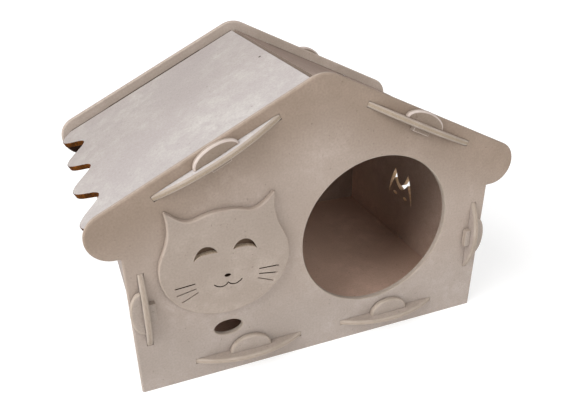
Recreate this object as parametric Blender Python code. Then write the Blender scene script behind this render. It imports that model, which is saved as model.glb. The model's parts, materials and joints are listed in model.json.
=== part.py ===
"""Cat house of flat fibreboard panels that slot together and are held by small keys.

Metres, +Z up. The front faces -Y, and left and right are as seen from the front. The origin
is on the ground, under the middle of the house. Two gable boards stand front and back. The
two roof boards, the two side walls and the floor run between them, and each pushes curved
tabs out through slots in both gables. A key with a half-oval head drops through every tab,
outside the gable, and holds the joint together.
"""

import math

import bpy

# The board that everything is cut from, and the play between pieces that touch
board = 0.006
gap = 0.0003

# Gable boards, front and back
house_width = 0.400
eave_height = 0.160
lobe_radius = 0.0246
lobe_overhang = 0.0295
roof_angle = math.radians(25.87)
apex_radius = 0.030
inside_depth = 0.2713

# Where the other boards lie between the gables
roof_inset = 0.0116
wall_inset = 0.0115
floor_height = 0.0188

# Openings in the front gable and in the right wall
door_radius = 0.085
door_x = 0.063
door_z = 0.1322
peephole_half_width = 0.0152
peephole_half_height = 0.0089
peephole_x = -0.1049
peephole_z = 0.0558
window_z = 0.082

# Wavy edge along both eaves
wave_pitch = 0.0755
wave_swing = 0.0127
wave_fullness = 0.0007

# Curved tabs: length along the gable, place of the middle, and reach beyond the gable
tab_reach = 0.013
roof_tab_length = 0.135
roof_tab_place = 0.1183
wall_tab_length = 0.084
wall_tab_place = 0.0996
floor_tab_length = 0.118
floor_tab_place = 0.083
floor_tab_reach = 0.0155

# Keys: those of the floor and of the back right roof tab have taller heads, and that of the
# back left roof tab has a lower one, which stays behind the edge of the gable
key_head_width = 0.0475
key_head_height = 0.0118
tall_key_head_width = 0.045
floor_key_head_height = 0.0168
back_right_key_head_height = 0.0155
back_left_key_head_height = 0.0095
key_stem_width = 0.0200
key_stem_reach = 0.0065
roof_key_stem_reach = 0.0045

# Cat face on the front gable: its middle, and the oval of the head
face_x = -0.1043
face_z = 0.1367
face_tilt = math.radians(1.1)
face_half_width = 0.0655
face_half_height = 0.0575
line_width = 0.0012

# How finely curves are drawn
circle_steps = 96
arc_steps = 24
small_steps = 12

# Worked out from the sizes above
half_width = house_width / 2
slope_sin = math.sin(roof_angle)
slope_cos = math.cos(roof_angle)
lobe_x = half_width + lobe_overhang - lobe_radius
lobe_z = eave_height + lobe_radius
apex_z = lobe_z + (lobe_radius + lobe_x * slope_sin) / slope_cos
ridge_z = apex_z - roof_inset / slope_cos
gable_y = inside_depth / 2 + board / 2
panel_length = inside_depth - 2 * gap
wall_outer_x = half_width - wall_inset
wall_middle_x = wall_outer_x - board / 2
eave_tip = (half_width + lobe_overhang) / slope_cos
ridge_cut = board * math.tan(roof_angle) + gap / 2 / slope_cos
wall_height = ridge_z - wall_outer_x * slope_sin / slope_cos - (board + gap) / slope_cos
floor_middle_z = floor_height + board / 2
slot_width = board + 2 * gap
tab_start = gap + board
key_y = inside_depth / 2 + board + gap + board / 2


# Outlines: each helper returns a run of (x, y) points

def ellipse_arc(centre, half_x, half_y, start, end, steps):
    """An arc of an ellipse, from angle start to angle end in radians, both ends included."""
    points = []
    for step in range(steps + 1):
        angle = start + (end - start) * step / steps
        points.append((centre[0] + half_x * math.cos(angle), centre[1] + half_y * math.sin(angle)))
    return points


def full_ellipse(centre, half_x, half_y, steps):
    return ellipse_arc(centre, half_x, half_y, 0, 2 * math.pi, steps)[:-1]


def bezier(start, pull_start, pull_end, end, steps):
    """A cubic curve between two points, both ends included."""
    points = []
    for step in range(steps + 1):
        t = step / steps
        weights = ((1 - t) ** 3, 3 * t * (1 - t) ** 2, 3 * t * t * (1 - t), t ** 3)
        corners = (start, pull_start, pull_end, end)
        points.append(tuple(sum(w * c[axis] for w, c in zip(weights, corners)) for axis in (0, 1)))
    return points


def rectangle(centre, length, width, turn=0.0):
    """A rectangle whose long side is turned anticlockwise from +X by an angle in radians."""
    points = []
    for along, across in ((-1, -1), (1, -1), (1, 1), (-1, 1)):
        a = along * length / 2
        b = across * width / 2
        x = centre[0] + a * math.cos(turn) - b * math.sin(turn)
        y = centre[1] + a * math.sin(turn) + b * math.cos(turn)
        points.append((x, y))
    return points


def stroke(line, width):
    """The outline of a line drawn with a round-ended tool of the given width."""
    sides = ([], [])
    for index, point in enumerate(line):
        before = line[max(index - 1, 0)]
        after = line[min(index + 1, len(line) - 1)]
        heading = math.atan2(after[1] - before[1], after[0] - before[0])
        for side, points in zip((1, -1), sides):
            offset_x = -math.sin(heading) * side * width / 2
            offset_y = math.cos(heading) * side * width / 2
            points.append((point[0] + offset_x, point[1] + offset_y))
    caps = []
    for end, inner in ((line[-1], line[-2]), (line[0], line[1])):
        heading = math.atan2(end[1] - inner[1], end[0] - inner[0])
        cap = ellipse_arc(end, width / 2, width / 2, heading + math.pi / 2, heading - math.pi / 2, 6)
        caps.append(cap[1:-1])
    return sides[0] + caps[0] + sides[1][::-1] + caps[1]


def mirrored(points):
    """The same run, reflected in the Y axis and reversed, so that it carries on from the first."""
    return [(-x, y) for x, y in reversed(points)]


def moved(points, centre):
    return [(x + centre[0], y + centre[1]) for x, y in points]


# Collections, the empty that carries the house, and the boards

for old in list(bpy.data.objects):
    bpy.data.objects.remove(old, do_unlink=True)

house_collection = bpy.data.collections.new("cat_house")
bpy.context.scene.collection.children.link(house_collection)
house = bpy.data.objects.new("house", None)
house_collection.objects.link(house)


def board_material(name, colour, roughness):
    material = bpy.data.materials.new(name)
    material.use_nodes = True
    shader = material.node_tree.nodes["Principled BSDF"]
    shader.inputs["Base Color"].default_value = (*colour, 1)
    shader.inputs["Roughness"].default_value = roughness
    shader.inputs["Metallic"].default_value = 0
    return material


def cut_board(name, outlines, location, rotation, colour):
    """A board of the common thickness: the first outline is its edge, and the others are holes."""
    curve = bpy.data.curves.new(name, "CURVE")
    curve.dimensions = "2D"
    curve.fill_mode = "BOTH"
    curve.extrude = board / 2
    for outline in outlines:
        spline = curve.splines.new("POLY")
        spline.points.add(len(outline) - 1)
        spline.use_cyclic_u = True
        for point, (x, y) in zip(spline.points, outline):
            point.co = (x, y, 0, 1)
    curve.materials.append(board_material(name, colour, 0.85))
    piece = bpy.data.objects.new(name, curve)
    piece.location = location
    piece.rotation_euler = rotation
    piece.parent = house
    house_collection.objects.link(piece)
    return piece


# Gable boards

def gable_outline():
    """Right half from the ground up to the apex, then the left half back down."""
    lobe = ellipse_arc((lobe_x, lobe_z), lobe_radius, lobe_radius,
                       -math.pi / 2, math.pi / 2 - roof_angle, arc_steps)
    apex = ellipse_arc((0, apex_z - apex_radius / slope_cos), apex_radius, apex_radius,
                       math.pi / 2 - roof_angle, math.pi / 2, small_steps)
    right = [(half_width, 0), (half_width, eave_height)] + lobe + apex
    return right + mirrored(right)[1:]


def tab_slots():
    """The slots that take the tabs: two for the roof, two for the walls and two for the floor."""
    slots = []
    for side in (1, -1):
        roof_x = side * (roof_tab_place * slope_cos - board / 2 * slope_sin)
        roof_z = ridge_z - roof_tab_place * slope_sin - board / 2 * slope_cos
        slots.append(rectangle((roof_x, roof_z), roof_tab_length + 2 * gap, slot_width,
                               -side * roof_angle))
        slots.append(rectangle((side * wall_middle_x, wall_tab_place), slot_width,
                               wall_tab_length + 2 * gap))
        slots.append(rectangle((side * floor_tab_place, floor_middle_z),
                               floor_tab_length + 2 * gap, slot_width))
    return slots


def add_gables():
    upright = (math.pi / 2, 0, 0)
    door = full_ellipse((door_x, door_z), door_radius, door_radius, circle_steps)
    peephole = full_ellipse((peephole_x, peephole_z), peephole_half_width,
                            peephole_half_height, 2 * arc_steps)
    cut_board("front_gable", [gable_outline(), door, peephole] + tab_slots(),
              (0, -gable_y, 0), upright, (0.42, 0.36, 0.30))
    cut_board("back_gable", [gable_outline()] + tab_slots(),
              (0, gable_y, 0), upright, (0.45, 0.39, 0.33))


# Boards between the gables. Each is drawn with x across the house and y along its depth.

def tabbed_end(start, finish, tabs):
    """One end of a board, from x = start to x = finish, as (x, distance out from the end)."""
    points = [(start, 0)]
    for middle, length, reach in tabs:
        points.append((middle - length / 2, 0))
        points += tab_curve(middle, length, reach)
        points.append((middle + length / 2, 0))
    points.append((finish, 0))
    return points


def tab_curve(middle, length, reach):
    """The part of a tab outside the gable: a low arc of a circle over the slot."""
    radius = (length ** 2 / 4 + reach ** 2) / (2 * reach)
    half_angle = math.asin(length / 2 / radius)
    centre = (middle, tab_start + reach - radius)
    return ellipse_arc(centre, radius, radius, math.pi / 2 + half_angle,
                       math.pi / 2 - half_angle, arc_steps)


def key_slots(tabs):
    """The slot for a key in each tab at both ends."""
    slots = []
    for middle, _, _ in tabs:
        for end in (1, -1):
            slot_y = end * (panel_length / 2 + tab_start + slot_width / 2)
            slots.append(rectangle((middle, slot_y), key_stem_width + 2 * gap, slot_width))
    return slots


def tabbed_board(start, finish, tabs, far_edge=()):
    """The outline and key slots of a board from x = start to finish, tabbed at both ends."""
    end = tabbed_end(start, finish, tabs)
    front = [(x, -panel_length / 2 - out) for x, out in end]
    back = [(x, panel_length / 2 + out) for x, out in reversed(end)]
    return [front + list(far_edge) + back] + key_slots(tabs)


def wavy_eave(y):
    """How far down the slope the eave reaches, at y along the depth. A tip is half a pitch
    either side of the middle, and is a little fuller than the hollow between the tips."""
    turn = 2 * math.pi * y / wave_pitch
    middle = eave_tip - wave_swing
    return middle - wave_swing * math.cos(turn) + wave_fullness * (1 - math.cos(2 * turn))


def add_roof():
    steps = round(panel_length / wave_pitch * arc_steps)
    edge = []
    for step in range(1, steps):
        y = panel_length * (step / steps - 0.5)
        edge.append((wavy_eave(y), y))
    outlines = tabbed_board(ridge_cut, wavy_eave(panel_length / 2),
                            [(roof_tab_place, roof_tab_length, tab_reach)], edge)
    for side, name in ((1, "right_roof"), (-1, "left_roof")):
        middle = (-side * board / 2 * slope_sin, 0, ridge_z - board / 2 * slope_cos)
        turn = (0, roof_angle, 0 if side == 1 else math.pi)
        cut_board(name, outlines, middle, turn, (0.60, 0.54, 0.49))


def window_outline():
    """Cat's head drawn as one tapering band, ears and cheeks, with x up the wall."""
    outer = (bezier((0.000, -0.0280), (0.009, -0.0285), (0.028, -0.0225), (0.0400, -0.0152), 10)
             + bezier((0.0400, -0.0152), (0.029, -0.0095), (0.0200, -0.0065), (0.0200, 0), 8)[1:])
    inner = (bezier((0.0130, 0), (0.0135, -0.0060), (0.0200, -0.0115), (0.0250, -0.0157), 8)
             + bezier((0.0250, -0.0157), (0.017, -0.0205), (0.0090, -0.0240), (0.000, -0.0270), 10)[1:])
    left = outer[:-1]
    right = [(x, -y) for x, y in reversed(outer)]
    under_right = [(x, -y) for x, y in reversed(inner)]
    under_left = inner[1:]
    return left + right + under_right + under_left


def window_eye(side):
    """Almond slot: two shallow curves that meet at its corners."""
    half_length = 0.005
    bulge = 0.003
    middle = (0.0045, side * 0.012)
    near = (middle[0], middle[1] - half_length)
    far = (middle[0], middle[1] + half_length)
    upper = bezier(near, (near[0] + bulge, near[1] + bulge), (far[0] + bulge, far[1] - bulge), far, 8)
    lower = bezier(far, (far[0] - bulge, far[1] - bulge), (near[0] - bulge, near[1] + bulge), near, 8)
    return upper[:-1] + lower[:-1]


def add_walls():
    standing = (0, -math.pi / 2, 0)
    outlines = tabbed_board(0, wall_height, [(wall_tab_place, wall_tab_length, tab_reach)])
    window = [moved(shape, (window_z, 0)) for shape in
              (window_outline(), window_eye(1), window_eye(-1))]
    cut_board("left_wall", outlines, (-wall_middle_x, 0, 0), standing, (0.55, 0.49, 0.44))
    cut_board("right_wall", outlines + window, (wall_middle_x, 0, 0), standing, (0.30, 0.25, 0.21))


def add_floor():
    reach = wall_outer_x - board - gap
    tabs = [(side * floor_tab_place, floor_tab_length, floor_tab_reach) for side in (-1, 1)]
    cut_board("floor_panel", tabbed_board(-reach, reach, tabs),
              (0, 0, floor_middle_z), (0, 0, 0), (0.33, 0.27, 0.23))


# Cat face

def face_outline():
    """Right half from under the chin round the cheek and ear to the crown, then the left half."""
    cheek_end = math.radians(14)
    crown_start = math.radians(69)
    cheek = ellipse_arc((0, 0), face_half_width, face_half_height, -math.pi / 2, cheek_end,
                        2 * arc_steps)
    crown = ellipse_arc((0, 0), face_half_width, face_half_height, crown_start, math.pi / 2,
                        small_steps)
    ear_tip_outer = (0.0530, 0.0640)
    ear_tip_inner = (0.0509, 0.0653)
    outer_side = bezier(cheek[-1], (0.0600, 0.0262), (0.0485, 0.0375), ear_tip_outer, small_steps)
    tip = bezier(ear_tip_outer, (0.0529, 0.0662), (0.0522, 0.0660), ear_tip_inner, 4)
    inner_side = bezier(ear_tip_inner, (0.0435, 0.0595), (0.0362, 0.0492), crown[0], small_steps)
    right = cheek + outer_side[1:] + tip[1:] + inner_side[1:] + crown[1:]
    return right + mirrored(right)[1:-1]


def face_eye():
    """Right eye, shut and smiling: a half moon between a high arc and a low one."""
    inner_corner = (0.0075, 0.0141)
    outer_corner = (0.0317, 0.0095)
    upper = bezier(inner_corner, (0.0125, 0.0262), (0.0270, 0.0278), outer_corner, small_steps)
    lower = bezier(outer_corner, (0.0280, 0.0146), (0.0160, 0.0159), inner_corner, small_steps)
    return upper[:-1] + lower[:-1]


def face_mouth():
    """Two hanging curves that meet in a small peak under the nose."""
    right = bezier((0, -0.0212), (0.0030, -0.0262), (0.0095, -0.0262), (0.0140, -0.0212), 8)
    return stroke(mirrored(right)[:-1] + right, line_width)


def face_whiskers():
    """Three strokes on the right cheek, each from its inner end to its outer end."""
    ends = (
        ((0.0330, -0.0146), (0.0515, -0.0156)),
        ((0.0325, -0.0204), (0.0505, -0.0236)),
        ((0.0310, -0.0253), (0.0460, -0.0321)),
    )
    return [stroke(list(line), line_width) for line in ends]


def add_face():
    nose = full_ellipse((0, -0.0132), 0.00325, 0.0018, 2 * small_steps)
    right_side = [face_eye()] + face_whiskers()
    left_side = [mirrored(shape) for shape in right_side]
    outlines = [face_outline(), nose, face_mouth()] + right_side + left_side
    face_y = -(inside_depth / 2 + board + gap + board / 2)
    cut_board("cat_face", outlines, (face_x, face_y, face_z),
              (math.pi / 2, -face_tilt, 0), (0.44, 0.38, 0.32))


# Keys

def add_key(name, seat, end, lean, head, stem_reach):
    """T shape with a half-oval head. Its origin is at the middle of the head's straight side."""
    stem_end = -(gap + board + stem_reach)
    half_stem = key_stem_width / 2
    width, height = head
    curve = ellipse_arc((0, 0), width / 2, height, 0, math.pi, arc_steps)
    outline = [(-half_stem, stem_end), (half_stem, stem_end), (half_stem, 0)] + curve + [(-half_stem, 0)]
    cut_board(name, [outline], (seat[0], end * key_y, seat[1]), (math.pi / 2, lean, 0),
              (0.46, 0.40, 0.34))


def add_keys():
    """A key for each tab, seated on the outer face of its board."""
    low_head = (key_head_width, key_head_height)
    floor_head = (tall_key_head_width, floor_key_head_height)
    back_roof_heads = ((key_head_width, back_left_key_head_height),
                       (tall_key_head_width, back_right_key_head_height))
    roof_x = roof_tab_place * slope_cos + gap * slope_sin
    roof_z = ridge_z - roof_tab_place * slope_sin + gap * slope_cos
    wall_x = wall_outer_x + gap
    floor_z = floor_height + board + gap
    for end, end_name, roof_heads in ((-1, "front", (low_head, low_head)), (1, "back", back_roof_heads)):
        for side, side_name, roof_head in ((-1, "left", roof_heads[0]), (1, "right", roof_heads[1])):
            name = end_name + "_" + side_name
            add_key(name + "_roof_key", (side * roof_x, roof_z), end, side * roof_angle,
                    roof_head, roof_key_stem_reach)
            add_key(name + "_wall_key", (side * wall_x, wall_tab_place), end, side * math.pi / 2,
                    low_head, key_stem_reach)
            add_key(name + "_floor_key", (side * floor_tab_place, floor_z), end, 0,
                    floor_head, key_stem_reach)


add_gables()
add_roof()
add_walls()
add_floor()
add_face()
add_keys()
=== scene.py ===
# The finish of a flat-pack cat house: fibreboard panels that slot together, held by small keys.
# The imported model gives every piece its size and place. Metres, +Z up, the front faces -Y.
import json
import math

import bmesh
import bpy
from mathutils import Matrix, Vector


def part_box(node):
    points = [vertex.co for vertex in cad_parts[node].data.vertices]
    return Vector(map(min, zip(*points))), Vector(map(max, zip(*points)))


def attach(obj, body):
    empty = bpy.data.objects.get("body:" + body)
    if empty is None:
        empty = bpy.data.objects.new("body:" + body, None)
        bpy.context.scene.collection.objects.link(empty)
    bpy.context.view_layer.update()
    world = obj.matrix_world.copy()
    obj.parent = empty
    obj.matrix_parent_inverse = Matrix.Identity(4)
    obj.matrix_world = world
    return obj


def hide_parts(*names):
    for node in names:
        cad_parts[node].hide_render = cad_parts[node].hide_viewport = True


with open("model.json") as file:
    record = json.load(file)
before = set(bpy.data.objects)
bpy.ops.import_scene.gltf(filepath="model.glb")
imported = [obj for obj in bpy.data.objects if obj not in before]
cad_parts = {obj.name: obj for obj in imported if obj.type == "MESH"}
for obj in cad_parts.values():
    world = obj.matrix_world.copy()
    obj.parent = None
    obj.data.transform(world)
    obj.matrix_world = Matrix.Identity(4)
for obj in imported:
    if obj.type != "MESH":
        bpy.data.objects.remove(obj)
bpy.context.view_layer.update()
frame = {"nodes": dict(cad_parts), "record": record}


# The front gable board. A house-shaped sheet of fibreboard with a round door and a peephole,
# milled from one sheet. Its outline is rounded well over by hand, its slots are left sharp.

bodies = {node: body for body, nodes in frame["record"]["behaviour"]["bodies"].items() for node in nodes}

# Directions, and what counts as one point, one flat face, a sharp edge and a cut edge.
backwards, upwards = Vector((0, 1, 0)), Vector((0, 0, 1))
merge_distance = 0.00001
flat_angle = math.radians(0.3)
sharp_angle = math.radians(30)
cut_edge_lean = 0.5
rim_steps = 4
face_index, rim_index = 0, 1


def whole_board(node, finishes):
    """A copy of a packed board, its loose triangles merged into whole faces, shown in its place.
    Its finishes are materials, the first for its flat faces and the second for its rims."""
    piece = bpy.data.objects.new(node + "_board", frame["nodes"][node].data.copy())
    bpy.context.scene.collection.objects.link(piece)
    piece.data.materials.clear()
    for finish in finishes:
        piece.data.materials.append(finish)
    bpy.ops.object.select_all(action="DESELECT")
    bpy.context.view_layer.objects.active = piece
    piece.select_set(True)
    bpy.ops.mesh.customdata_custom_splitnormals_clear()
    bpy.ops.object.mode_set(mode="EDIT")
    bpy.ops.mesh.select_mode(type="EDGE")
    bpy.ops.mesh.select_all(action="SELECT")
    bpy.ops.mesh.remove_doubles(threshold=merge_distance)
    bpy.ops.mesh.dissolve_limited(angle_limit=flat_angle)
    bpy.ops.mesh.select_all(action="DESELECT")
    bpy.ops.object.mode_set(mode="OBJECT")
    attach(piece, bodies[node])
    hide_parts(node)
    return piece


def ease_edges(piece, radius, chosen, finish):
    """Rounds the sharp edges whose middle is chosen, and gives the rounded faces a finish."""
    bpy.context.view_layer.objects.active = piece
    bpy.ops.object.mode_set(mode="EDIT")
    mesh = bmesh.from_edit_mesh(piece.data)
    for edge in mesh.edges:
        middle = (edge.verts[0].co + edge.verts[1].co) / 2
        edge.select_set(edge.calc_face_angle(0) > sharp_angle and chosen(middle))
    bmesh.update_edit_mesh(piece.data)
    bpy.ops.mesh.bevel(offset=radius, segments=rim_steps, affect="EDGES", clamp_overlap=False,
                       loop_slide=False, material=piece.data.materials.find(finish.name))
    bpy.ops.object.mode_set(mode="OBJECT")


def paint_cut_edges(piece, across, finish, chosen):
    """Gives a finish to the chosen part of the cut edge round a board, which is every face that
    leans little towards its flat sides. Rims keep their own."""
    for face in piece.data.polygons:
        is_cut = face.material_index != rim_index and abs(face.normal.dot(across)) < cut_edge_lean
        if is_cut and chosen(face.center):
            face.material_index = piece.data.materials.find(finish.name)


def everywhere(place):
    """Chooses the whole of a board."""
    return True


def refill_sides(piece, across):
    """Fills the two flat sides of a board afresh, clear of the rounded rims, and points them outwards."""
    bpy.context.view_layer.objects.active = piece
    for side in (1, -1):
        plane = max(point.co.dot(across) * side for point in piece.data.vertices)
        bpy.ops.object.mode_set(mode="EDIT")
        bpy.ops.mesh.select_mode(type="FACE")
        bpy.ops.mesh.select_all(action="DESELECT")
        mesh = bmesh.from_edit_mesh(piece.data)
        for face in mesh.faces:
            face.select_set(all(point.co.dot(across) * side > plane - merge_distance for point in face.verts))
        bmesh.update_edit_mesh(piece.data)
        bpy.ops.mesh.delete(type="FACE")
        bpy.ops.mesh.select_mode(type="EDGE")
        mesh = bmesh.from_edit_mesh(piece.data)
        for edge in mesh.edges:
            edge.select_set(edge.is_boundary)
        bmesh.update_edit_mesh(piece.data)
        bpy.ops.mesh.fill(use_beauty=True)
        mesh = bmesh.from_edit_mesh(piece.data)
        for face in mesh.faces:
            if face.select:
                face.material_index = face_index
                if face.normal.dot(across) * side < 0:
                    face.normal_flip()
            face.select_set(False)
        bmesh.update_edit_mesh(piece.data)
        bpy.ops.mesh.select_mode(type="EDGE")
        bpy.ops.object.mode_set(mode="OBJECT")


def smooth_board(piece, across):
    """Fills the flat sides afresh, then shades the rims smoothly and keeps the sides flat."""
    refill_sides(piece, across)
    bpy.context.view_layer.objects.active = piece
    piece.select_set(True)
    bpy.ops.object.shade_smooth_by_angle(angle=sharp_angle)
    weighted = piece.modifiers.new("flat faces", "WEIGHTED_NORMAL")
    weighted.keep_sharp = True
    bpy.ops.object.modifier_apply(modifier=weighted.name)


def linear(colour):
    """A colour given in 0 to 255, as the shader's linear numbers."""
    channels = []
    for value in colour:
        share = value / 255
        channels.append(share / 12.92 if share <= 0.04045 else ((share + 0.055) / 1.055) ** 2.4)
    return (*channels, 1)


def new_material(name):
    """A new material with its node tree, its shader, and the place on the piece that it reads."""
    material = bpy.data.materials.new(name)
    material.use_nodes = True
    tree = material.node_tree
    place = tree.nodes.new("ShaderNodeTexCoord").outputs["Object"]
    return material, tree, tree.nodes["Principled BSDF"], place


def noise(tree, place, scale, detail, stretch=(1, 1, 1), offset=(0, 0, 0)):
    """A noise pattern with features about 1 / scale metres across."""
    mapping = tree.nodes.new("ShaderNodeMapping")
    mapping.inputs["Scale"].default_value = stretch
    mapping.inputs["Location"].default_value = offset
    texture = tree.nodes.new("ShaderNodeTexNoise")
    texture.inputs["Scale"].default_value = scale
    texture.inputs["Detail"].default_value = detail
    tree.links.new(place, mapping.inputs["Vector"])
    tree.links.new(mapping.outputs["Vector"], texture.inputs["Vector"])
    return texture.outputs["Fac"]


def spread(tree, value, low, high, at_low=0, at_high=1, smooth=False):
    """Turns a value that runs from low to high into one that runs from at_low to at_high."""
    ramp = tree.nodes.new("ShaderNodeMapRange")
    ramp.interpolation_type = "SMOOTHSTEP" if smooth else "LINEAR"
    ramp.inputs["From Min"].default_value = low
    ramp.inputs["From Max"].default_value = high
    ramp.inputs["To Min"].default_value = at_low
    ramp.inputs["To Max"].default_value = at_high
    tree.links.new(value, ramp.inputs["Value"])
    return ramp.outputs["Result"]


def fading(tree, value, start, end, smooth=False):
    """A mask that is full up to start, and gone from end on."""
    return spread(tree, value, start, end, 1, 0, smooth)


def mix(tree, share, first, second, blend="MIX"):
    """Mixes two colours, each a colour or another node's output."""
    node = tree.nodes.new("ShaderNodeMix")
    node.data_type = "RGBA"
    node.blend_type = blend
    sockets = [socket for socket in node.inputs if socket.type == "RGBA"]
    for value, socket in zip((first, second), sockets):
        if isinstance(value, tuple):
            socket.default_value = value
        else:
            tree.links.new(value, socket)
    tree.links.new(share, node.inputs["Factor"])
    return [socket for socket in node.outputs if socket.type == "RGBA"][0]


def lay_over(tree, base, colour, pattern, strength=1, low=0.35, high=0.65):
    """Lays a colour over a base where a noise pattern is high, up to the given strength."""
    return mix(tree, spread(tree, pattern, low, high, at_high=strength), base, colour)


def product(tree, first, second):
    """Two masks multiplied, so that the result is full only where both are."""
    node = tree.nodes.new("ShaderNodeMath")
    node.operation = "MULTIPLY"
    tree.links.new(first, node.inputs[0])
    tree.links.new(second, node.inputs[1])
    return node.outputs[0]


def vector_step(tree, operation, place, other=(0, 0, 0)):
    """One step of arithmetic on a place, such as its length or its distance along a direction."""
    node = tree.nodes.new("ShaderNodeVectorMath")
    node.operation = operation
    tree.links.new(place, node.inputs[0])
    node.inputs[1].default_value = other
    return node.outputs["Value" if operation in ("DOT_PRODUCT", "LENGTH") else "Vector"]


def along(tree, place, direction):
    """How far a place lies in a direction, from the ground under the middle of the house."""
    return vector_step(tree, "DOT_PRODUCT", place, direction)


def along_both_ways(tree, place, direction):
    """The same, with left counted as right and the front as the back."""
    return along(tree, vector_step(tree, "ABSOLUTE", place), direction)


def finish_surface(tree, shader, base, gloss, relief, strength, depth=0.0002):
    """Gives a shader its colour and gloss, and a faint relief that follows a pattern."""
    tree.links.new(base, shader.inputs["Base Color"])
    shader.inputs["Specular IOR Level"].default_value = gloss
    bump = tree.nodes.new("ShaderNodeBump")
    bump.inputs["Strength"].default_value = strength
    bump.inputs["Distance"].default_value = depth
    tree.links.new(relief, bump.inputs["Height"])
    tree.links.new(bump.outputs["Normal"], shader.inputs["Normal"])


def fibreboard(name, colour, shade, fleck, offset, tints=()):
    """The pressed face of fibreboard: cloudy, felted with short fibres, and lightly flecked.
    Each tint is a colour that the face is multiplied by, and the function that makes its mask."""
    material, tree, shader, place = new_material(name)
    clouds = noise(tree, place, scale=14, detail=4, offset=offset)
    patches = noise(tree, place, scale=55, detail=5, offset=offset)
    mottle = noise(tree, place, scale=120, detail=4, offset=offset)
    felt = noise(tree, place, scale=480, detail=3, offset=offset)
    flecks = noise(tree, place, scale=260, detail=1, offset=offset)
    base = lay_over(tree, linear(shade), linear(colour), clouds)
    base = lay_over(tree, base, linear(shade), patches, strength=0.7, low=0.42, high=0.60)
    base = lay_over(tree, base, linear(shade), mottle, strength=0.5)
    base = lay_over(tree, base, linear(fleck), felt, strength=0.22, high=0.70)
    base = lay_over(tree, base, linear(fleck), flecks, strength=0.5, low=0.72, high=0.80)
    for tint, mask in tints:
        base = mix(tree, mask(tree, place), base, tint, "MULTIPLY")
    roughness = spread(tree, felt, low=0.3, high=0.7, at_low=0.75, at_high=0.92)
    tree.links.new(roughness, shader.inputs["Roughness"])
    finish_surface(tree, shader, base, gloss=0.15, relief=felt, strength=0.3)
    return material


def eased_rim(name, colour, worn):
    """The rounded rim: opened fibres, slightly fuzzy, and worn lighter in places."""
    material, tree, shader, place = new_material(name)
    rub = noise(tree, place, scale=60, detail=3)
    fuzz = noise(tree, place, scale=1100, detail=2)
    base = lay_over(tree, linear(colour), linear(worn), rub)
    roughness = spread(tree, fuzz, low=0.3, high=0.7, at_low=0.6, at_high=0.85)
    tree.links.new(roughness, shader.inputs["Roughness"])
    finish_surface(tree, shader, base, gloss=0.35, relief=fuzz, strength=0.25, depth=0.0001)
    return material


def milled_edge(name, colour, core, across):
    """The cut edge of the board: fine layers that run along it, and small crumbs of the core."""
    material, tree, shader, place = new_material(name)
    layer_thinness = 7
    thinned = [1 + layer_thinness * abs(part) for part in across]
    layers = noise(tree, place, scale=230, detail=3, stretch=thinned)
    crumbs = noise(tree, place, scale=1300, detail=2)
    base = lay_over(tree, linear(colour), linear(core), layers)
    base = lay_over(tree, base, linear(core), crumbs, strength=0.2)
    shader.inputs["Roughness"].default_value = 0.9
    finish_surface(tree, shader, base, gloss=0.2, relief=crumbs, strength=0.4)
    return material


# How far the edges are rounded, and the slope of the roof.
gable_rim = 0.0022
opening_rim = 0.0010
roof_angle = math.radians(25.87)
slope_sin, slope_cos = math.sin(roof_angle), math.cos(roof_angle)
square_to_slope = Vector((slope_sin, 0, slope_cos))

# Where the other boards pass through this one, and where it is cut open.
wall_middle = (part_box("right_wall")[0].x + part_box("right_wall")[1].x) / 2
floor_middle = (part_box("floor_panel")[0].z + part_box("floor_panel")[1].z) / 2
roof_heights = [point.co.dot(square_to_slope) for point in frame["nodes"]["right_roof"].data.vertices]
roof_middle = (min(roof_heights) + max(roof_heights)) / 2
roof_line = max(point.co.dot(square_to_slope) for point in frame["nodes"]["front_gable"].data.vertices)
slot_half_width = 0.0045
door_centre, door_reach = Vector((0.063, 0.1322)), 0.087
peephole_centre, peephole_reach = Vector((-0.1049, 0.0558)), 0.017

# Where the board gets painted shade and painted light, and how each tint fades out.
front_plane = -0.1417
# Painted shade behind the cat face, dark in the deep cuts of its lines.
recess_shade_middle, recess_shade_reach = Vector((-0.1043, front_plane, 0.1367)), Vector((0.052, 0.004, 0.042))
recess_shade_fade = 0.1
# Painted shade: the board is darker and browner along its sloping top.
roof_shade_gone, roof_shade_full = 0.090, 0.010
turn_start, turn_end = 0.0002, 0.0036
# Painted light from the floor: the board is greyer towards the ground.
floor_light_full, floor_light_gone = 0.03, 0.13
painted_shade_near_roof, painted_floor_light, painted_recess_shade = (0.75, 0.70, 0.64, 1), (0.94, 0.97, 1.00, 1), (0.30, 0.24, 0.19, 1)


def in_slot(place):
    """Whether a place is on the edge of a slot. The tabs fit there tightly, so it stays sharp."""
    side = abs(place.x)
    beside_wall = abs(side - wall_middle) < slot_half_width and place.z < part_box("right_wall")[1].z
    beside_floor = abs(place.z - floor_middle) < slot_half_width
    beside_roof = abs(side * slope_sin + place.z * slope_cos - roof_middle) < slot_half_width
    return beside_wall or (beside_floor or beside_roof) and side < wall_middle


def in_opening(place):
    """Whether a place is on the edge of the door or the peephole."""
    flat = Vector((place.x, place.z))
    in_door = (flat - door_centre).length < door_reach
    return in_door or (flat - peephole_centre).length < peephole_reach


def on_outline(place):
    """Whether a place is on the board's outline, above the edge that it stands on."""
    return not in_slot(place) and not in_opening(place) and place.z > gable_rim


def near_roof_line(tree, place):
    """Full along the sloping top of the board, gone about 9 cm below it."""
    height = along_both_ways(tree, place, square_to_slope)
    return spread(tree, height, roof_line - roof_shade_gone, roof_line - roof_shade_full, smooth=True)


def near_roof_line_in_front(tree, place):
    """The same, fading out where the rim turns away from the front."""
    depth = along(tree, place, backwards)
    turned = fading(tree, depth, front_plane + turn_start, front_plane + turn_end, smooth=True)
    return product(tree, near_roof_line(tree, place), turned)


def near_ground(tree, place):
    """Full at the foot of the board, gone half way up the door: where the painted floor light lies."""
    return fading(tree, along(tree, place, upwards), floor_light_full, floor_light_gone, smooth=True)


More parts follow.
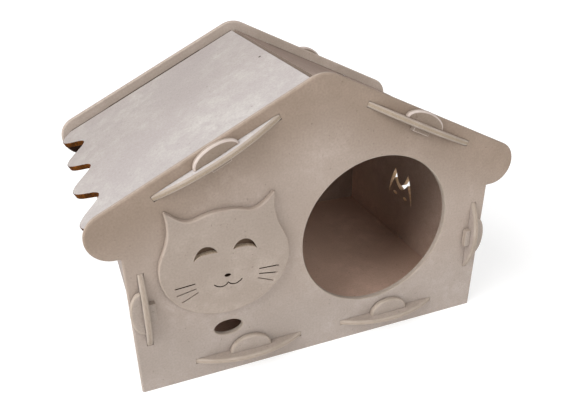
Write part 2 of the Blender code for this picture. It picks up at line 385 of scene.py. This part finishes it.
def behind_face(tree, place):
    """Full where the cat face sits on the board, seen only through the lines that are cut in it: painted
    shade in those deep cuts.
    """
    centred = vector_step(tree, "SUBTRACT", place, recess_shade_middle)
    shares = vector_step(tree, "MULTIPLY", centred, [1 / reach for reach in recess_shade_reach])
    return fading(tree, vector_step(tree, "LENGTH", shares), 1 - recess_shade_fade, 1 + recess_shade_fade)


front_face = fibreboard("front gable face", (169, 156, 147), (153, 140, 130), (119, 106, 97), (0, 0, 0),
                        [(painted_shade_near_roof, near_roof_line_in_front), (painted_floor_light, near_ground), (painted_recess_shade, behind_face)])
# The rims are darker than the faces: painted shade that tones down their highlights.
shaded_board_rim = eased_rim("board rim, painted shade", (143, 131, 119), (154, 142, 131))
gable_edge = milled_edge("gable cut edge", (164, 151, 140), (146, 133, 122), backwards)


def add_gable(node, face):
    """A gable board with its outline and openings eased. Its outline has the finish of its face."""
    gable = whole_board(node, (face, shaded_board_rim, gable_edge))
    ease_edges(gable, gable_rim, on_outline, face)
    ease_edges(gable, opening_rim, in_opening, shaded_board_rim)
    paint_cut_edges(gable, backwards, gable_edge, everywhere)
    smooth_board(gable, backwards)


add_gable("front_gable", front_face)


# The back gable board. The same sheet and outline as the front one, with slots but no openings.
# It stands 27 cm behind the front one, held by the same tabs and keys.

gable_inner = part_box("back_gable")[0].y
wall_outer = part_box("right_wall")[1].x
half_board = 0.003
rightwards = Vector((1, 0, 0))
# The right half of the back gable is a little darker: painted shade.
line_fade, edge_fade, ridge_fade = 0.001, 0.002, 0.03
# Painted shadow under the eaves, on the lobes of the back gable.
lobe_low, lobe_fade = 0.160, 0.012
shaded, painted_eave_shadow, painted_right_shade = (0.85, 0.72, 0.65, 1), (0.05, 0.022, 0.010, 1), (0.95, 0.94, 0.92, 1)


def under_roof(tree, place):
    """Full on the inner face of the back gable below the roof boards."""
    height = along_both_ways(tree, place, square_to_slope)
    ceiling = roof_middle - half_board
    below = fading(tree, height, ceiling, ceiling + line_fade)
    inner = fading(tree, along(tree, place, backwards), gable_inner, gable_inner + edge_fade)
    return product(tree, below, inner)


def behind_eave(tree, place):
    """The same, only on the round lobes outside the side walls, under the wavy eaves, where the painted
    shadow lies.
    """
    side = along_both_ways(tree, place, rightwards)
    outside = spread(tree, side, wall_outer, wall_outer + edge_fade)
    on_lobe = spread(tree, along(tree, place, upwards), lobe_low - lobe_fade, lobe_low, smooth=True)
    return product(tree, product(tree, outside, on_lobe), under_roof(tree, place))


def right_of_ridge(tree, place):
    """Full on the right half of the board, where the painted shade lies."""
    return spread(tree, along(tree, place, rightwards), 0, ridge_fade)


back_face = fibreboard("back gable face", (176, 163, 154), (159, 147, 137), (124, 111, 102), (4, 2, 6),
                       [(painted_right_shade, right_of_ridge), (shaded, under_roof), (painted_eave_shadow, behind_eave)])
add_gable("back_gable", back_face)


# The two roof boards. Fibreboard with a wavy eave cut by a hot laser, which leaves the edge of
# the waves scorched brown. Curved tabs at both ends go out through the gables.

roof_rim = 0.0005
tab_rim = 0.0018
just_outside = 0.0002
tab_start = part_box("back_gable")[1].y + just_outside
key_slot_half, key_slot_depth = 0.0115, 0.0075
key_slot_end = tab_start + key_slot_depth
roof_key_place = 0.1183
ridge_height = max(roof_heights) / slope_cos
ridge_reach = 0.012
light_overlap = 0.03
joint_full, joint_gone = 0.0016, 0.0034
nick_place = Vector((-0.0117, 0.0022, 0.2927))
nick_full, nick_gone = 0.0012, 0.0019
painted_roof_light, painted_roof_shade, joint_dark = (1.18, 1.21, 1.24, 1), (0.92, 0.92, 0.92, 1), (0.16, 0.11, 0.08, 1)


def on_tab(place, from_key):
    """Whether a place is on the curved edge of a tab, and not on the slot for its key, whose
    middle is the given distance away."""
    return abs(place.y) > tab_start and (abs(from_key) > key_slot_half or abs(place.y) > key_slot_end)


def on_roof_tab(place):
    """Like on_tab, with the distance down the slope measured from the key."""
    down = abs(place.x) * slope_cos + (ridge_height - place.z) * slope_sin
    return on_tab(place, down - roof_key_place)


def on_eave(place):
    """Whether a place is on the wavy edge outside the wall."""
    return abs(place.y) < gable_inner - tab_rim and abs(place.x) > wall_outer


def at_ridge(place):
    """Whether a place is where the two roof boards meet."""
    return abs(place.x) < ridge_reach


def towards_front(tree, place):
    """Full at the front gable, gone just behind the middle."""
    return fading(tree, along(tree, place, backwards), -gable_inner, light_overlap)


def towards_back(tree, place):
    """Gone just in front of the middle, full at the back gable."""
    return spread(tree, along(tree, place, backwards), -light_overlap, gable_inner)


def at_joint(tree, place):
    """A thin line of dust and shade where the board meets a gable."""
    centred = vector_step(tree, "ABSOLUTE", place)
    beyond = vector_step(tree, "SUBTRACT", centred, backwards * gable_inner)
    alone = vector_step(tree, "MULTIPLY", beyond, backwards)
    return fading(tree, vector_step(tree, "LENGTH", alone), joint_full, joint_gone)


def at_nick(tree, place):
    """One small dark nick near the ridge."""
    centred = vector_step(tree, "SUBTRACT", place, nick_place)
    return fading(tree, vector_step(tree, "LENGTH", centred), nick_full, nick_gone)


def streaked_cut_edge(name, burnt, charred, across):
    """A laser-cut edge with fine streaks across the thickness of the board, in the two colours given: brown
    ones are the laser's scorch, light ones are painted light.
    """
    material, tree, shader, place = new_material(name)
    streak_stretch = 0.93
    drawn_out = [1 - streak_stretch * abs(part) for part in across]
    streaks = noise(tree, place, scale=900, detail=2, stretch=drawn_out)
    soot = noise(tree, place, scale=110, detail=3)
    base = lay_over(tree, linear(burnt), linear(charred), streaks)
    base = lay_over(tree, base, linear(charred), soot, strength=0.7)
    shader.inputs["Roughness"].default_value = 0.8
    finish_surface(tree, shader, base, gloss=0.05, relief=streaks, strength=0.5)
    return material


# Painted light towards the front of each roof board, and painted shade towards the back.
roof_tints = [(painted_roof_light, towards_front), (painted_roof_shade, towards_back), (joint_dark, at_joint)]
left_roof_face = fibreboard("left roof face", (172, 166, 161), (157, 149, 146), (120, 112, 108), (3, 1, 2),
                            roof_tints + [(joint_dark, at_nick)])
# The right board's face is darker and browner than the left: painted shade, as it lies away from the key
# light.
shaded_right_roof_face = fibreboard("right roof face, painted shade", (163, 143, 131), (148, 129, 118), (115, 98, 88), (8, 4, 5),
                             roof_tints)
for node, side, face in (("left_roof", -1, left_roof_face), ("right_roof", 1, shaded_right_roof_face)):
    across = Vector((side * slope_sin, 0, slope_cos))
    edge = milled_edge(node + " cut edge", (152, 138, 122), (134, 120, 104), across)
    eave = streaked_cut_edge(node + " scorched eave", (112, 62, 8), (42, 21, 3), across)
    # The cut edges where the boards meet at the ridge are darker than the others: painted shade.
    shaded_ridge_edge = milled_edge(node + " ridge edge, painted shade", (122, 108, 98), (106, 93, 83), across)
    roof = whole_board(node, (face, shaded_board_rim, edge, eave, shaded_ridge_edge))
    ease_edges(roof, tab_rim, on_roof_tab, shaded_board_rim)
    ease_edges(roof, roof_rim, on_eave, eave)
    paint_cut_edges(roof, across, edge, everywhere)
    paint_cut_edges(roof, across, eave, on_eave)
    paint_cut_edges(roof, across, shaded_ridge_edge, at_ridge)
    smooth_board(roof, across)


# The two side walls. Plain boards between the gables. The right one has a cat's head cut in it
# as a window, by the same laser as the eaves. The walls of that cut are painted light.

low_full, low_gone = 0.02, 0.10
window_low, window_high = 0.075, 0.130
window_reach = 0.035
wall_key_height = (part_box("front_right_wall_key")[0].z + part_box("front_right_wall_key")[1].z) / 2
# Painted light on the inner faces of the walls: warmer and lighter, and paler still at the foot and at the
# back.
painted_inside_light, painted_pale_light, painted_outer_left_shade = (1.26, 1.08, 0.98, 1), (1.45, 1.45, 1.45, 1), (0.85, 0.87, 0.90, 1)


def between_gables(tree, place):
    """Full between the gables, gone on the tabs outside them."""
    return fading(tree, along_both_ways(tree, place, backwards), gable_inner, gable_inner + edge_fade)


def inside_wall(tree, place):
    """Full on the inner faces of both walls, between the gables."""
    side = along_both_ways(tree, place, rightwards)
    inner = fading(tree, side, wall_middle - line_fade, wall_middle + line_fade)
    return product(tree, inner, between_gables(tree, place))


def low_on_wall(tree, place):
    """Full at the foot of the inner faces."""
    low = fading(tree, along(tree, place, upwards), low_full, low_gone, smooth=True)
    return product(tree, low, inside_wall(tree, place))


def back_on_wall(tree, place):
    """Full at the back end of the inner faces, gone at their middle."""
    back = spread(tree, along(tree, place, backwards), 0, gable_inner, smooth=True)
    return product(tree, back, inside_wall(tree, place))


def outer_left(tree, place):
    """Full on the outer face of the left wall, where painted shade tones it down."""
    return fading(tree, along(tree, place, rightwards), -wall_middle - line_fade, -wall_middle + line_fade)


def in_window(place):
    """Whether a place is on the edge of the window, which is cut only in the right wall."""
    return abs(place.y) < window_reach and window_low < place.z < window_high


def on_wall_tab(place):
    """Like on_tab, for the tabs of the walls."""
    return on_tab(place, place.z - wall_key_height)


wall_face = fibreboard("wall face", (165, 153, 145), (150, 138, 130), (115, 103, 94), (7, 5, 1),
                       [(painted_inside_light, inside_wall), (painted_pale_light, low_on_wall), (painted_pale_light, back_on_wall),
                        (painted_outer_left_shade, outer_left)])
wall_edge = milled_edge("wall cut edge", (156, 143, 131), (138, 125, 113), rightwards)
# The window's cut walls are near white: painted light.
window_edge = streaked_cut_edge("window edge, painted light", (240, 214, 190), (190, 160, 124), rightwards)
for node in ("left_wall", "right_wall"):
    wall = whole_board(node, (wall_face, shaded_board_rim, wall_edge, window_edge))
    ease_edges(wall, tab_rim, on_wall_tab, shaded_board_rim)
    paint_cut_edges(wall, rightwards, wall_edge, everywhere)
    paint_cut_edges(wall, rightwards, window_edge, in_window)
    smooth_board(wall, rightwards)


# The floor. One board a little above the ground, with two curved tabs at each end, which go
# out through the gables and are held by keys like the rest.

floor_key_place = (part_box("front_right_floor_key")[0].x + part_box("front_right_floor_key")[1].x) / 2
# Painted light: the floor's face between the gables is much lighter than its tabs.
painted_floor_inside_light = (1.95, 1.62, 1.48, 1)


def on_floor_tab(place):
    """Like on_tab, for the tabs of the floor."""
    return on_tab(place, abs(place.x) - floor_key_place)


floor_face = fibreboard("floor face", (163, 151, 142), (148, 136, 126), (114, 101, 92), (2, 9, 4),
                        [(painted_floor_inside_light, between_gables)])
floor_edge = milled_edge("floor cut edge", (156, 143, 131), (138, 125, 113), upwards)
floor_board = whole_board("floor_panel", (floor_face, shaded_board_rim, floor_edge))
ease_edges(floor_board, tab_rim, on_floor_tab, shaded_board_rim)
paint_cut_edges(floor_board, upwards, floor_edge, everywhere)
smooth_board(floor_board, upwards)


# The cat face. A separate plate, fixed with glue on the front gable, its rim well rounded, with the
# shut eyes, nose, mouth and whiskers cut through it by a hot laser that browns the walls of the
# lines, darkened further there as painted shade; the walls of the eyes are painted light.

plate_rim = 0.0016
plate_back_rim = 0.0008
features_reach = Vector((0.0545, 0.045))
features_drop = 0.004
face_low, face_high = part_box("cat_face")
face_centre = (face_low + face_high) / 2


def on_features(place):
    """Whether a place belongs to the cut lines: those all lie within an oval inside the plate."""
    across_share = (place.x - face_centre.x) / features_reach.x
    up_share = (place.z - face_centre.z + features_drop) / features_reach.y
    return across_share ** 2 + up_share ** 2 < 1


def on_eyes(place):
    """Whether a place belongs to the lines of the eyes, which are in the upper half."""
    return on_features(place) and place.z > face_centre.z


def on_front_rim(place):
    """Whether a place is on the plate's outline, on the front."""
    return not on_features(place) and place.y < face_centre.y


def on_back_rim(place):
    """Whether a place is on the plate's outline, next to the gable."""
    return not on_features(place) and place.y > face_centre.y


plate_face = fibreboard("plate face", (160, 148, 138), (147, 135, 125), (114, 101, 91), (5, 2, 8))
# The plate's rim is darker than its face: painted shade that tones down its highlight.
shaded_plate_rim = eased_rim("plate rim, painted shade", (144, 130, 119), (154, 141, 130))
plate_edge = milled_edge("plate cut edge", (158, 144, 133), (146, 132, 121), backwards)
# The walls of the nose, mouth and whisker cuts: scorched by the laser, and darkened as painted shade.
line_edge = streaked_cut_edge("scorched lines, painted shade", (68, 50, 37), (44, 32, 23), backwards)
# The walls of the eyes are lighter than the plate: painted light, as they face up towards the light.
eye_edge = streaked_cut_edge("eye walls, painted light", (190, 175, 158), (150, 134, 116), backwards)
plate = whole_board("cat_face", (plate_face, shaded_plate_rim, plate_edge, line_edge, eye_edge))
ease_edges(plate, plate_rim, on_front_rim, shaded_plate_rim)
ease_edges(plate, plate_back_rim, on_back_rim, shaded_plate_rim)
paint_cut_edges(plate, backwards, plate_edge, everywhere)
paint_cut_edges(plate, backwards, line_edge, on_features)
paint_cut_edges(plate, backwards, eye_edge, on_eyes)
smooth_board(plate, backwards)


# The twelve keys. Each is a small T of the same board that drops through its tab outside the
# gable. Their heads are rounded well over, so that fingers can pull them.

key_rim = 0.0020
stem_rim = 0.0005
stem_half_width = 0.011
pulls = {joint["child"]: Vector(joint["axis"]) for joint in frame["record"]["behaviour"]["joints"]}
# Near the roof line the keys get the same painted shade.
key_face = fibreboard("key face", (160, 149, 141), (147, 136, 127), (114, 102, 93), (1, 6, 3),
                      [(painted_shade_near_roof, near_roof_line)])
key_edge = milled_edge("key cut edge", (160, 148, 137), (143, 130, 119), backwards)
# The rims of the roof keys are lighter than the others: painted highlight.
highlighted_key_rim = eased_rim("roof key rim, painted highlight", (168, 155, 147), (180, 168, 161))


def add_key(node):
    """A key with its head's curve rounded over, from the seat up, and its stem lightly eased."""
    rim = highlighted_key_rim if "roof" in node else shaded_board_rim
    key = whole_board(node, (key_face, rim, key_edge))
    up = pulls[node]
    sideways = up.cross(backwards)
    centre = sum(point.co.dot(sideways) for point in key.data.vertices) / len(key.data.vertices)
    seat = min(point.co.dot(up) for point in key.data.vertices
               if abs(point.co.dot(sideways) - centre) > stem_half_width)

    def on_head(place):
        """Whether a place is on the half-oval above the seat."""
        return place.dot(up) > seat + stem_rim

    def on_stem(place):
        """Whether a place is on the stem below the seat."""
        return place.dot(up) < seat - stem_rim

    ease_edges(key, key_rim, on_head, rim)
    ease_edges(key, stem_rim, on_stem, rim)
    paint_cut_edges(key, backwards, key_edge, everywhere)
    smooth_board(key, backwards)


for node in sorted(pulls):
    add_key(node)


# The ground, the light and the view. A white studio floor, broad soft lights from the upper
# left and the front, and the place and angle that the house is seen from.

ground_size = 40
ground_drop = 0.0002
ground_grey = (0.35, 0.35, 0.35, 1)
ground_glow = 0.72
bpy.ops.object.select_all(action="DESELECT")
bpy.ops.mesh.primitive_plane_add(size=ground_size, location=(0, 0, -ground_drop))
ground = bpy.context.object
ground.name = "studio_floor"
ground_material = bpy.data.materials.new("studio floor")
ground_material.use_nodes = True
shader = ground_material.node_tree.nodes["Principled BSDF"]
shader.inputs["Base Color"].default_value = ground_grey
shader.inputs["Roughness"].default_value = 0.9
shader.inputs["Emission Color"].default_value = (1, 1, 1, 1)
shader.inputs["Emission Strength"].default_value = ground_glow
ground.data.materials.append(ground_material)


def soft_light(name, comes_from, width_degrees, strength, colour=(1, 1, 1)):
    """A far, wide light, as from a large soft box, that comes from the given direction."""
    light = bpy.data.lights.new(name, "SUN")
    light.angle = math.radians(width_degrees)
    light.energy = strength
    light.color = colour
    lamp = bpy.data.objects.new(name, light)
    lamp.rotation_euler = Vector(comes_from).to_track_quat("Z", "Y").to_euler()
    bpy.context.scene.collection.objects.link(lamp)


soft_light("key_light", (-1, -0.15, 0.9), 50, 3.47)
soft_light("low_key_light", (-1, -0.15, 0.35), 50, 0.85)
soft_light("high_front_light", (0, -0.7, 1), 60, 0.85, (1, 0.98, 0.97))
soft_light("low_front_light", (0.2, -1, 0.35), 60, 1.34, (1, 0.99, 0.98))

horizon_end, zenith_start = 0.05, 0.30
horizon_glow, zenith_glow = 1.0, 0.05
world = bpy.data.worlds.new("studio")
bpy.context.scene.world = world
world.use_nodes = True
sky = world.node_tree
elevation = along(sky, sky.nodes.new("ShaderNodeTexCoord").outputs["Generated"], upwards)
glow = spread(sky, elevation, horizon_end, zenith_start, horizon_glow, zenith_glow, smooth=True)
sky.nodes["Background"].inputs["Color"].default_value = (1, 0.98, 0.96, 1)
sky.links.new(glow, sky.nodes["Background"].inputs["Strength"])

camera_tilt, camera_roll, camera_heading = math.radians(62.207), math.radians(1.006), math.radians(-21.200)
camera = bpy.data.objects.new("camera", bpy.data.cameras.new("camera"))
bpy.context.scene.collection.objects.link(camera)
camera.location = (-0.23012, -0.61927, 0.44806)
camera.rotation_euler = (camera_tilt, camera_roll, camera_heading)
camera.data.lens = 38.09
camera.data.sensor_width = 36
camera.data.shift_x = 0.0117
camera.data.shift_y = 0.0086
camera.data.clip_start = 0.01
bpy.context.scene.camera = camera
bpy.context.scene.view_settings.view_transform = "Standard"
